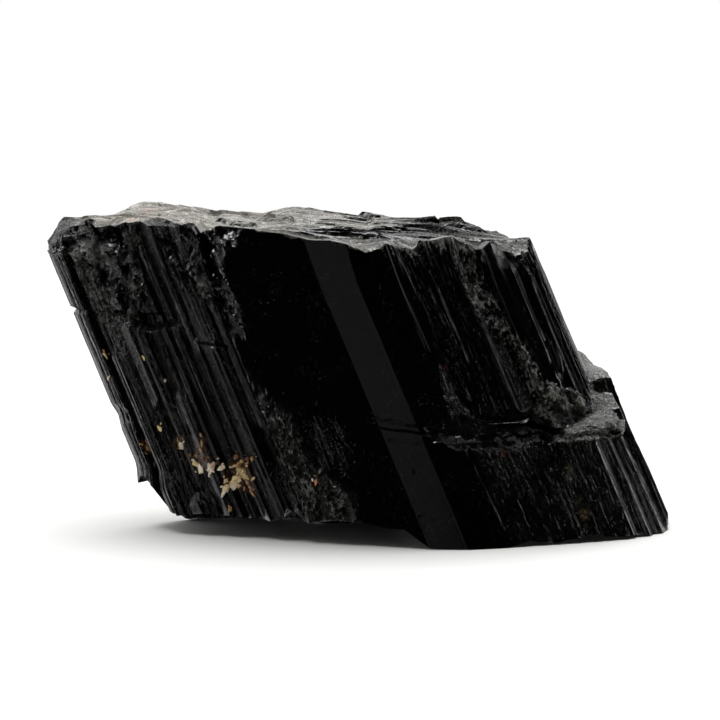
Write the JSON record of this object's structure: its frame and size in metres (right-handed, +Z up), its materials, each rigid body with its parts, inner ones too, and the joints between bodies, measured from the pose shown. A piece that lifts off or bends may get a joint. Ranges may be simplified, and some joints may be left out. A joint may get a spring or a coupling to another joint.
{
  "type": "tourmaline crystal",
  "caption": "Rough black tourmaline (schorl) crystal: a leaning bundle of parallel ribs with broken ends, a stepped shoulder, and a crust of feldspar crumbs.",
  "frame": {"origin": "on the surface that the crystal rests on, under the middle of its box", "axes": "+Z up, +X along its longest side, from the leaning top towards the foot of the shoulder; the ribbed front with the grey facet faces -Y"},
  "size_m": [0.0904, 0.0448, 0.0458],
  "materials": {
    "schorl": "black, glassy on the flat prism faces, striated along the axis, duller and dusty grey on broken surfaces",
    "feldspar": "cream to tan crumbs, dull"
  },
  "bodies": {
    "root": {"tourmaline_crystal": "schorl", "feldspar_crust": "feldspar"}
  },
  "joints": []
}
